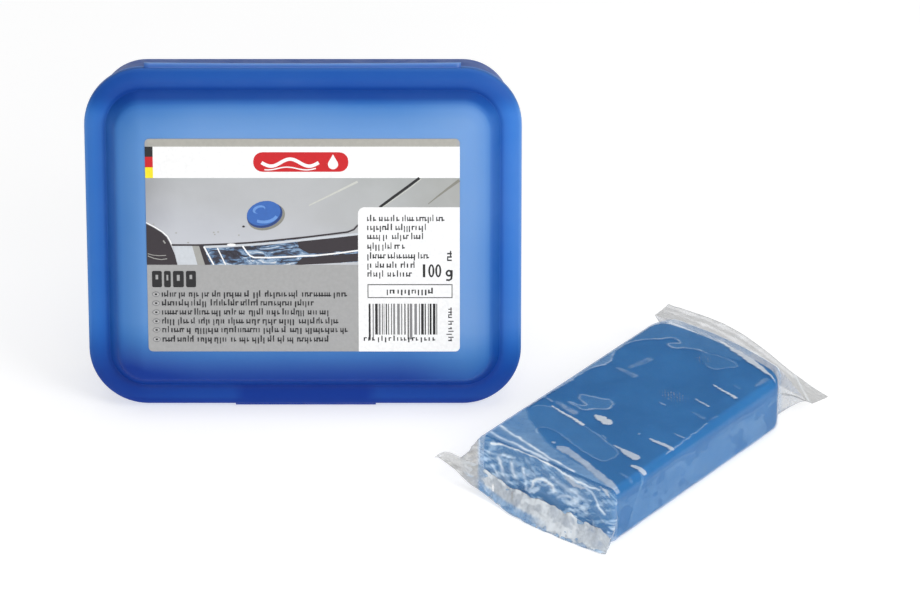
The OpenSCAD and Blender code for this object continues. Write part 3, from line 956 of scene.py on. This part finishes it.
# path, width and strength of its painted highlight line, and whether it closes
LINES = ((EDGE_A, 0.34, 0.62, False), (EDGE_A2, 0.4, 0.6, False), (EDGE_A3, 0.3, 0.4, False),
         (EDGE_C, 0.3, 0.42, False), (LOOP, 0.42, 0.55, True), (CREASE_R, 0.24, 0.62, False),
         (NEAR_1, 0.6, 0.9, False), (NEAR_2, 0.5, 0.95, False))


def top_maps(x, y):
    """Haze, and painted highlights as bright lines and glints, on the top of the film."""
    wob = 0.5 * (fbm(x / 2.6, y / 2.6, 0, 21, 3) - 0.5) * 2
    xs, ys = x + wob, y + 0.6 * (fbm(x / 2.3, y / 2.3, 4, 22, 3) - 0.5) * 2
    haze = np.zeros_like(x)
    for zone, level, soft in ZONES:
        d = np.minimum(seg_dist(xs, ys, zone, True) / soft, 1) / 2
        cover = np.where(inside(xs, ys, zone), 0.5 + d, 0.5 - d)
        haze = np.maximum(haze, level * smooth(cover) * (0.85 + 0.3 * (fbm(x / 5, y / 5, 1, 31, 3) - 0.5)))
    haze *= 1 - 0.45 * smooth((x - 24) / 8)
    line = np.zeros_like(x)
    for path, width, level, closed in LINES:
        d = seg_dist(xs, ys, chaikin(path, 2), closed)
        vary = 0.65 + 0.7 * (fbm(x / 3, y / 3, 2, 41, 2) - 0.3)
        line = np.maximum(line, level * vary * np.exp(-(d / width) ** 2))
    glint = np.zeros_like(x)
    for (ax, ay), (bx, by), wdt, level in STREAKS:
        length = math.hypot(bx - ax, by - ay) + 1e-6
        t = ((xs - ax) * (bx - ax) + (ys - ay) * (by - ay)) / length / length
        d = seg_dist(0.35 * x + 0.65 * xs, 0.35 * y + 0.65 * ys, [(ax, ay), (bx, by)])
        half = wdt / 2 * (0.45 + 0.75 * np.sqrt(np.clip(t, 0, 1)))
        soft = 0.3 if level > 0.45 else 1.3
        cloud = 1.0 if level > 0.45 else 0.3 + 1.6 * fbm(x / 1.6, y / 1.6, 6, 45, 3)
        glint = np.maximum(glint, level * np.minimum(cloud, 1.2) * smooth((half - d) / soft + 0.5))
    # painted highlights: the blob, the crescent along the far edge, and the band
    for shape, level in ((BLOB, 0.95), (CRESCENT, 0.95), (BAND, 0.58)):
        d = seg_dist(xs, ys, shape, True)
        glint = np.maximum(glint, level * np.where(inside(xs, ys, shape), 1, smooth(1 - d / 0.3)))
    return haze, np.clip(line, 0, 1), glint


NA = 190  # points over the top from side to side
EDGE = PACK_W / 2
END = PACK_L / 2
HALF = PACK_W + PACK_H


def rect_ring(a, under):
    """A point round the sleeve, with its outward normal, in y and z.

    a runs from -1, the right side at mid height, over the top or under the bottom to 1, the left side."""
    s = (a + 1) / 2 * HALF
    hz, hy, r = PACK_H / 2, EDGE, 3.0
    y = np.where(s < hz, -hy, np.where(s > HALF - hz, hy, -hy + s - hz))
    z = np.where(s < hz, s, np.where(s > HALF - hz, HALF - s, hz))
    ny = np.where(s < hz, -1.0, np.where(s > HALF - hz, 1.0, 0.0))
    nz = np.where((s < hz) | (s > HALF - hz), 0.0, 1.0)
    for s0, sy in ((hz, -1), (HALF - hz, 1)):
        t = (s - s0) / r
        near = np.abs(t) < 1
        ang = (t + 1) / 2 * math.pi / 2
        ang = math.pi - ang if sy < 0 else math.pi / 2 - ang
        y = np.where(near, sy * (hy - r) + r * np.cos(ang), y)
        z = np.where(near, hz - r + r * np.sin(ang), z)
        ny, nz = np.where(near, np.cos(ang), ny), np.where(near, np.sin(ang), nz)
    sign = -1 if under else 1
    return y, PACK_H / 2 + sign * z, ny, nz * sign


A_TOP = np.linspace(-1, 1, NA)
A_ALL = np.concatenate([A_TOP, A_TOP[::-1][1:-1]])
UNDER = np.concatenate([np.zeros(NA, bool), np.ones(NA - 2, bool)])
RING = len(A_ALL)
ry_t, rz_t, rny_t, rnz_t = rect_ring(A_ALL, False)
ry_b, rz_b, rny_b, rnz_b = rect_ring(A_ALL, True)
RY, RZ = np.where(UNDER, ry_b, ry_t), np.where(UNDER, rz_b, rz_t)
RNY, RNZ = np.where(UNDER, rny_b, rny_t), np.where(UNDER, rnz_b, rnz_t)


def narrowed(x, y):
    """The film follows the block's rounded far corners part of the way."""
    r = np.where(y < 0, R_FAR + 1.5, R_FAR)
    t = np.clip(x - (END - r), 0, 0.707 * r)
    follow = r - np.sqrt(r * r - t * t) + np.maximum(x - (END - 0.293 * r), 0) * 0.9
    return y * (1 - follow / EDGE)


FAR_Y = narrowed(np.full(RING, END), RY)
FAR_X = bowed(END, FAR_Y)


def far_line(a):
    """Where the far gusset closes: an arch that slopes down to the right."""
    t = np.interp((a + 1) / 2, [0, 0.13, 0.87, 1], [0, 0.045, 0.955, 1])
    return 52.3 + 3.2 * np.sin(math.pi * np.clip((t - 0.2) / 0.8, 0, 1)), -31.5 + 64 * t, 6.0 + 9.4 * t


# The near end, at stations from right to left: share of the ring, then place along, across and up
# where the gusset closes, and how far its crimped strip leans in and stands up from there.
# The last three shape the ear.
NEAR_STATIONS = chaikin([
    (0, -53.1, -28.7, 0.5, 2.2, 5), (0.12, -54.1, -20.7, 0.3, 4.2, 6.2), (0.3, -54.5, -8.7, 0.3, 4.8, 6.5),
    (0.5, -54.3, 4.6, 0.4, 4.6, 6.3), (0.64, -52.7, 14, 0.9, 3.4, 6.4), (0.75, -51.1, 21.3, 2, 2, 6.4),
    (0.84, -50.7, 28.6, 3.6, 0.6, 7.4), (0.91, -51.4, 33.6, 6.8, -0.2, 6.2),
    (0.96, -52.2, 36.2, 8.2, -0.5, 3.6), (1, -52.7, 38, 9.3, -0.6, 0.4)])


def near_line(a):
    """Place of the near seal's root, and its strip's lean and rise."""
    return tuple(np.interp((a + 1) / 2, NEAR_STATIONS[:, 0], NEAR_STATIONS[:, k]) for k in range(1, 6))


rows = []
maps = {"haze": [], "line": [], "glint": [], "crumple": [], "emboss": [], "grey": []}


def add_row(x, y, z, **values):
    """One ring of the film: its places in mm, and the maps' values there."""
    rows.append(np.column_stack(np.broadcast_arrays(x, y, z)))
    for name, store in maps.items():
        store.append(np.broadcast_to(values.get(name, 0.0), (RING,)).astype(float))


def bezier(q, start, middle, end):
    return (1 - q) ** 2 * start + 2 * q * (1 - q) * middle + q * q * end


LAYER = np.where(UNDER, -1.0, 1.0)
FIN = 8.4  # the far fin's width


def far_fin_row(t):
    """The flat crimped fin at the far end, from its root at 0 to its tip at 1."""
    lx, ly, lz = far_line(A_ALL)
    x = lx + (FIN + 0.5 * np.sin(A_ALL * 5)) * t
    y = ly + 0.4 * t * np.sin(A_ALL * 7)
    z = lz + 0.5 * t * np.sin(A_ALL * 4 + 1) + 0.9 * t * t
    crimp = 0.06 * np.sin(t * 8.6 * 2 * math.pi / 2.6) * smooth((t - 0.25) / 0.1)  # ribs 2.6 mm apart
    fold = (x - 61) * 0.823 - (y + 18) * 0.57  # past this line its right corner is folded down
    out = np.maximum(fold, 0)
    z = z + crimp - 0.3 * out + 0.06 * LAYER
    crease = np.exp(-(fold / 0.45) ** 2)
    wrinkle = creases(x, y, 51, 6, 9)
    z = z + 0.35 * (wrinkle - 0.5) * (1 - 0.5 * t)
    edge_line = np.exp(-((1 - t) * FIN / 0.35) ** 2)
    h = 0.44 + 0.3 * (fbm(x / 4, y / 4, 0, 52, 3) - 0.5) + 0.03 * np.sign(crimp)
    # painted highlights along the fold, the fin's edge and the wrinkles' crests
    add_row(x, y, z, haze=h, line=np.maximum(0.8 * crease, 0.3 * edge_line),
            glint=0.3 * smooth((wrinkle - 0.68) / 0.1), crumple=0.25, grey=1.0)


def far_gusset_row(q):
    """The film closing down behind the block, from its end at 0 to the fin's root at 1."""
    lx, ly, lz = far_line(A_ALL)
    c1x = FAR_X + np.where(UNDER, 4.6, 2.4)
    c1y, c1z = FAR_Y * 0.98, np.where(UNDER, RZ + 0.3, RZ - 0.5)
    x, y = bezier(q, FAR_X, c1x, lx), bezier(q, FAR_Y, c1y, ly)
    z = bezier(q, RZ, c1z, lz) + 0.06 * LAYER * q
    wr = creases(x * 1.2, y, 53, 6, 8) - 0.5
    z = z + LAYER * 0.5 * wr * math.sin(math.pi * q) ** 0.7
    h = 0.30 + 0.12 * (fbm(x / 4, y / 4, 0, 54, 3) - 0.5)
    # painted highlights: a bright edge along the far end's top, lines fanning from it, and glints on wrinkle
    # crests
    sliver = 0.05 + 0.16 * smooth((-A_ALL - 0.15) / 0.25) * (1 - smooth((-A_ALL - 0.62) / 0.12))
    bright = smooth((sliver - abs(q - 0.15)) / 0.03) * (~UNDER) * smooth((A_ALL + 0.78) / 0.05)
    bright = bright * (0.6 + 0.4 * smooth((0.2 - A_ALL) / 0.4))
    fans = np.exp(-(((A_ALL + 0.52) * 3.2 - 0.9 * (q - 0.2)) / 0.03) ** 2)
    fans = fans + np.exp(-(((A_ALL + 0.62) * 2.2 - 0.5 * (q - 0.2)) / 0.02) ** 2)
    bright = np.maximum(bright, 0.7 * fans * smooth((q - 0.15) / 0.1))
    add_row(x, y, np.maximum(z, 0.03), haze=h, line=bright, glint=0.35 * smooth((wr - 0.22) / 0.08),
            crumple=0.2 * q, grey=smooth(q / 0.3))


def oval(x, y, cx, cy, rx, ry):
    """1 inside an oval and 0 well outside it."""
    return smooth(1.6 - np.hypot((x - cx) / rx, (y - cy) / ry))


def sleeve_row(x):
    """The tube round the block, at x along it."""
    yy = narrowed(np.full(RING, x), RY)
    xx = bowed(x, yy)
    on_top = RNZ > 0.5
    hz, ln, gl = top_maps(xx, yy)
    hz, ln, gl = (np.where(on_top, m, 0) for m in (hz, ln, gl))
    side = np.abs(RNY) > 0.5
    depth = PACK_H - RZ
    wob = (fbm(xx / 7, RY * 0 + 3, RZ / 12, 61, 3) - 0.5) * 2
    start = 4.3 + 0.5 * np.sin(xx / 13) + 1.5 * wob
    cloud = fbm(xx / 9, RY * 0 + 1, RZ / 5, 62, 4)
    side_haze = smooth((depth - start) / 0.5) * (0.10 + 0.45 * np.clip(cloud - 0.42, 0, 0.3))
    wedge = smooth((-37.5 - 0.5 * (9 - RZ) - xx) / 0.8)
    far_light = smooth((xx - 38.0) / 3.0)
    side_haze = side_haze * (1 - 0.55 * wedge) + 0.05 * far_light
    upright = np.exp(-((xx + 37.5 + 0.5 * (9 - RZ)) / 0.7) ** 2) * smooth((RZ - 2) / 4)
    blotch = fbm(xx / 6, RY * 0 + 5, RZ / 4.5, 64, 4) - 0.52
    below = smooth((depth - start - 0.3) / 1.2)
    patch = smooth(blotch / 0.05) * below
    hz = np.where(side, np.maximum(0.55 * side_haze + 0.16 * patch, 0.3 * upright), hz)
    # painted highlight along the edge of the side's haze and round its patches
    rim_line = np.exp(-((depth - start) / 0.22) ** 2) * smooth((cloud - 0.40) / 0.12)
    rim_line = np.maximum(rim_line, 0.8 * np.exp(-((blotch - 0.01) / 0.008) ** 2) * below)
    ln = np.where(side, 0.28 * rim_line, ln)
    bulge = 0.06 + 0.30 * np.minimum(hz, 0.5) + 0.16 * ln + 0.22 * gl
    bulge = bulge + 0.10 * (fbm(xx / 8, RY / 8, RZ / 8, 63, 3) - 0.5)
    dotted = np.maximum(oval(xx, yy, 9.9, -7.0, 2.6, 4.4), oval(xx, yy, 34.1, -1.0, 2.2, 2.6))
    y, z = yy + RNY * (bulge - 0.12), RZ + RNZ * (bulge - 0.12)
    add_row(xx, y, np.maximum(z, 0.03), haze=hz, line=ln, glint=gl, emboss=np.where(on_top, dotted, 0))


# Painted highlights along folds on the near end: points as place across and depth below the block's
# top, then width and strength.
END_FOLDS = [
    ([(22, 1.5), (11.3, 0.3), (-0.3, 0.6), (-11.8, 2.5), (-20.4, 2.2)], 0.34, 0.95),
    ([(-14.4, 2.6), (-18.5, 4.0), (-21.2, 6.8), (-24, 9)], 0.36, 0.8),
    ([(18.8, 5.4), (17.4, 7.0), (15.6, 10.6)], 0.75, 0.62),
    ([(13.8, 5.4), (12.8, 7.4), (11.4, 8.8)], 0.85, 0.55),
    ([(8.8, 5.6), (8.0, 8.4), (6.4, 11.0)], 0.6, 0.6),
    ([(4.8, 10.4), (4, 7.8), (2, 6.5), (-0.2, 6.2), (-2.5, 6.9), (-4.4, 8.4)], 0.55, 0.7),
    ([(22.5, 4.2), (19.8, 4.8), (17.0, 4.0), (12.5, 3.4)], 0.4, 0.45),
    ([(-6, 9.6), (-9.4, 8.0), (-13, 8.7), (-16.4, 10.4)], 0.6, 0.5),
    ([(-3, 4.6), (-8.5, 6.2), (-13, 6.0), (-17, 7.6)], 0.7, 0.4),
    ([(20.6, 8.0), (18.8, 10.4), (16.6, 12.4)], 0.5, 0.5),
]
# painted reflections on facets of the near end, as bright lenses
END_LENSES = [  # bright facets there
    [(-5.5, 0.8), (-8.5, 1.9), (-12, 3.0), (-16, 3.0), (-14, 4.2), (-10.5, 4.4), (-7.5, 3.0)],
    [(2.4, 6.5), (-0.6, 5.9), (-3.9, 7.4), (-4.2, 9.0), (-2.6, 8.0), (-0.4, 7.2)],
    [(-20.0, 0.6), (-23.6, 1.2), (-25.2, 3.4), (-22.6, 2.4)],
]


def near_gusset_row(q):
    """The film crumpled against the block's near end, from its edge at 0 to the strip's root at 1."""
    lx, ly, lz, _, _ = near_line(A_ALL)
    left = smooth((RY - 16) / 9)
    c1x = np.where(UNDER, -END - 4.0, -END - 1.2)
    c1y = RY + 0.35 * (ly - RY)
    c1z = np.where(UNDER, np.minimum(RZ, 0.6) * (1 - left) + (0.8 * RZ + 0.3) * left,
        RZ * (0.14 + 0.7 * left))
    x, y, z = bezier(q, -END, c1x, lx), bezier(q, RY, c1y, ly), bezier(q, RZ, c1z, lz)
    depth = PACK_H - z
    amp = math.sin(math.pi * min(q * 0.8 + 0.04, 1)) ** 0.8 * smooth(q / 0.12)
    wr = creases(y * 0.55, depth * 1.0 + LAYER * 9, 71, 5, 4.6)
    fold = creases(y * 0.7 + depth * 0.3, depth * 1.1 + LAYER * 5, 72, 4, 3.0)
    x = x - amp * (1.5 * wr + 0.6 * fold) * np.where(UNDER, 0.4, 1.0)
    z = z + amp * (0.6 * (wr - 0.5) + 0.4 * (fold - 0.5))
    near_l = smooth((y - 26.5) / 3)
    cloudy = fbm(y / 4, depth / 2.2, 0, 73, 4)
    facet = smooth((fold - 0.42) / 0.16) * smooth((cloudy - 0.36) / 0.16)
    over = y + 0.81 * (-END - x) - 27.2  # past the block's left edge, the film has the floor behind it
    past = smooth(over / 1.5)
    # painted highlights: the haze rises on some facets, as if they catch the light
    h = smooth(q / 0.05) * (0.34 + 0.30 * facet - 0.12 * smooth((depth - 9) / 5)) + 0.20 * past
    h = np.where(UNDER, 0.34 + 0.3 * (cloudy - 0.5) + 0.1 * near_l, h)
    qy = y + 0.7 * (fbm(y / 2, depth / 2, 0, 76, 2) - 0.5)
    qq = depth + 0.9 * (fbm(y / 2.4, depth / 2.4, 3, 77, 3) - 0.5)
    # painted highlights along the folds and fine creases, and painted reflections in the lenses
    folds = 0.0
    for path, width, level in END_FOLDS:
        folds = np.maximum(folds, level * np.exp(-(seg_dist(qy, qq, chaikin(path, 1)) / width) ** 2))
    folds = folds * ~UNDER * (0.8 + 0.9 * (fbm(y / 2.5, depth / 2.5, 1, 78, 2) - 0.3))
    fine_line = 0.55 * smooth((0.16 - np.abs(wr - 0.5)) / 0.1) * smooth((cloudy - 0.5) / 0.08)
    fine_line = fine_line * smooth((depth - 5) / 3)
    lens = np.zeros(RING)
    for shape in END_LENSES:
        lens = np.maximum(lens, np.where(inside(qy, qq, shape), 0.75, 0) * ~UNDER)
    lines = np.clip(np.maximum(folds, 0.6 * fine_line * ~UNDER), 0, 1)
    add_row(x, y, np.maximum(z, 0.03), haze=h, line=lines, glint=lens, crumple=0.3 * amp,
            grey=np.maximum(smooth((-y - 26.5) / 3), past))


def near_strip_row(t):
    """The crimped strip crumpled up against the near end, from its root at 0 to its edge at 1."""
    lx, ly, lz, lean, rise = near_line(A_ALL)
    ear = smooth((ly - 24) / 8)
    wr = creases(ly * 0.9, t * 5.0, 74, 5, 4.2) - 0.5
    ragged = 1 + (1 - ear) * 0.3 * (fbm(ly / 4.0, 0, 0, 79, 3) - 0.5)
    wave = 0.45 * (1 - 0.6 * ear) * wr * math.sin(math.pi * (0.15 + 0.7 * t))
    x = lx + lean * t + wave - ear * 1.2 * t
    y = ly + ear * 1.0 * t
    z = lz + rise * t * ragged + 0.3 * wr * t * (1 - ear) + 0.05 * LAYER
    mist = fbm(ly / 2.6, t * 2.6, 0, 75, 4)
    fleck = fbm(ly / 0.7, t * 9, 0, 80, 3)
    root = smooth((0.40 - t) / 0.16) * smooth((ly + 8) / 14) * (1
        - ear)  # its lower left part lets the blue through
    h = 0.70 + 0.5 * (mist - 0.5) + 0.5 * (fleck - 0.5) - 0.26 * ear - 0.22 * root
    shine = 0.42 * smooth((fbm(ly / 3.0, t * 3.2, 2, 81, 3) - 0.46) / 0.22)
    add_row(x, y, np.maximum(z, 0.03), haze=np.clip(h, 0.1, 0.9),
        line=shine * (1 - 0.6 * ear) * (1 - 0.7 * root),
            crumple=0.14, grey=np.clip(0.75 + 0.25 * ear - 0.7 * root, 0, 1))


for t in np.linspace(1, 0, 30)[:-1]:
    far_fin_row(t)
for q in np.linspace(1, 0, 34)[:-1]:
    far_gusset_row(q)
for x in np.linspace(END, -END, 230):
    sleeve_row(x)
for q in np.linspace(0, 1, 76)[1:] ** 1.25:
    near_gusset_row(q)
for t in np.linspace(0, 1, 26)[1:]:
    near_strip_row(t)

pts = np.vstack(rows)
faces = grid_faces(len(rows), RING, True)
# both ends are closed by joining the top of the ring to its underside
for start, flip in ((0, False), ((len(rows) - 1) * RING, True)):
    for k in range(NA - 1):
        a, b = start + k, start + k + 1
        c = start + (RING - k - 1 if k + 1 < NA - 1 else NA - 1)
        d = start + (RING - k if k > 0 else 0)
        quad = list(dict.fromkeys([a, b, c, d]))
        if len(quad) > 2:
            faces.append(tuple(quad if flip else quad[::-1]))


def film_material():
    """Clear film that is milky where it has let go, with painted highlights on its folds and edges, painted
    glints, and embossed dots.
    """
    m = Nodes("clear_packing_film")
    haze, line, glint, crumple, emboss, grey = (m.attr(name) for name in maps)
    mottled = m.math("MULTIPLY", haze, m.remap(m.noise(420, 4, 0.6), 0.3, 0.7, 0.82, 1.15))
    cover = m.math("ADD", m.math("ADD", mottled, 0.02), m.math("MULTIPLY", line, 0.75), True)
    cover = m.math("MAXIMUM", cover, m.math("MULTIPLY", glint, 0.74))
    cells = m.node("TexVoronoi", feature="F1")
    m.link(m.coords(1100), cells.inputs["Vector"])
    m.put(cells.inputs["Randomness"], 0.15)
    m.put(cells.inputs["Scale"], 1.0)
    dots = m.math("MULTIPLY", m.remap(cells.outputs["Distance"], 0.15, 0.45, 1, 0), emboss)
    crinkle = m.math("MULTIPLY", m.noise(620, 2, 0.5, (1, 1, 1), 0.6), m.math("ADD", crumple, 0.03))
    over_clay = m.mix(m.remap(haze, 0.2, 0.6, 0, 1), (0.15, 0.43, 0.80), (0.40, 0.61, 0.86))
    milky = m.mix(grey, over_clay, (0.66, 0.66, 0.65))
    # painted highlights: the lines and glints turn the film near white
    tone = m.mix(m.math("MAXIMUM", m.math("MAXIMUM", line, glint), dots), milky, (0.86, 0.90, 0.93))
    relief = m.bump(crinkle, 0.3, 0.0004, m.bump(dots, 0.8, 0.0003))
    relief = m.bump(m.noise(190, 3, 0.5), 0.25, 0.0005, relief)
    cover = m.math("ADD", cover, m.math("MULTIPLY", dots, 0.6), True)
    clear = m.filled("BsdfTransparent", Color=(0.985, 0.99, 1))
    diffuse = m.principled(Base_Color=tone, Roughness=0.4, Normal=relief, Specular_IOR_Level=0.5)
    gloss = m.filled("BsdfGlossy", Roughness=0.16, Color=(1, 1, 1), Normal=relief)
    edge_on = m.filled("Fresnel", IOR=1.4, Normal=relief)
    body = m.mix_shader(cover, clear.outputs[0], diffuse.outputs[0])
    return m.finish(m.mix_shader(m.math("MULTIPLY", edge_on.outputs[0], 0.62), body, gloss.outputs[0]))


make("film_wrap", pack_pts(pts), faces, film_material(), "clay_pack",
     {name: np.concatenate(store) for name, store in maps.items()}, slot="clear_film",
     replaces=["film_sleeve", "film_near_seal", "film_far_seal", "film_back_seam"])

# ---------------------------------------------------------------- stage, light and camera
def floor_material():
    m = Nodes("floor_pale")
    col = m.mix(m.vary(6, 2, 0, 1), (0.58, 0.58, 0.58), (0.60, 0.60, 0.60))
    p = m.principled(Base_Color=col, Roughness=0.7, Specular_IOR_Level=0.1, Emission_Color=(1, 1, 1),
        Emission_Strength=0.58)
    return m.finish(p.outputs[0])


FLOOR = 3  # metres from its middle to its edges
corners = [(-FLOOR, -FLOOR, 0), (FLOOR, -FLOOR, 0), (FLOOR, FLOOR, 0), (-FLOOR, FLOOR, 0)]
floor = make("floor", corners, [(0, 1, 2, 3)], floor_material())

world = bpy.data.worlds.new("studio") if scene.world is None else scene.world
scene.world = world
world.use_nodes = True
backdrop = world.node_tree.nodes["Background"]
backdrop.inputs["Color"].default_value = (1.0, 1.0, 1.0, 1)
backdrop.inputs["Strength"].default_value = 0.32
scene.view_settings.view_transform = "Standard"
scene.view_settings.look = "None"


def area_light(name, place, aim, size, power):
    """A rectangular lamp at place, turned to aim; metres and watts."""
    data = bpy.data.lights.new(name, "AREA")
    data.shape, data.energy = "RECTANGLE", power
    data.size, data.size_y = size
    ob = bpy.data.objects.new(name, data)
    scene.collection.objects.link(ob)
    ob.location = place
    ob.rotation_euler = (Vector(aim) - Vector(place)).to_track_quat("-Z", "Y").to_euler()


area_light("key", (0.36, -0.36, 0.42), (-0.05, 0.02, 0.03), (0.34, 0.34), 1.8)
area_light("fill", (-0.12, -0.95, 0.4), (-0.06, 0.02, 0.05), (0.7, 0.5), 2.7)
area_light("top", (0.0, 0.1, 1.2), (-0.03, 0.05, 0.0), (1.1, 1.0), 4.9)

elev = math.radians(30.5)  # of the camera above the floor
distance = 1.6
target = Vector((-0.0565, 0.01806, 0.04406))
look = Vector((0, math.cos(elev), -math.sin(elev)))
cam_data = bpy.data.cameras.new("camera")
cam_data.lens, cam_data.sensor_width, cam_data.clip_end = 196, 36, 20
camera = bpy.data.objects.new("camera", cam_data)
scene.collection.objects.link(camera)
camera.location = target - look * distance
camera.rotation_euler = look.to_track_quat("-Z", "Y").to_euler()
scene.camera = camera
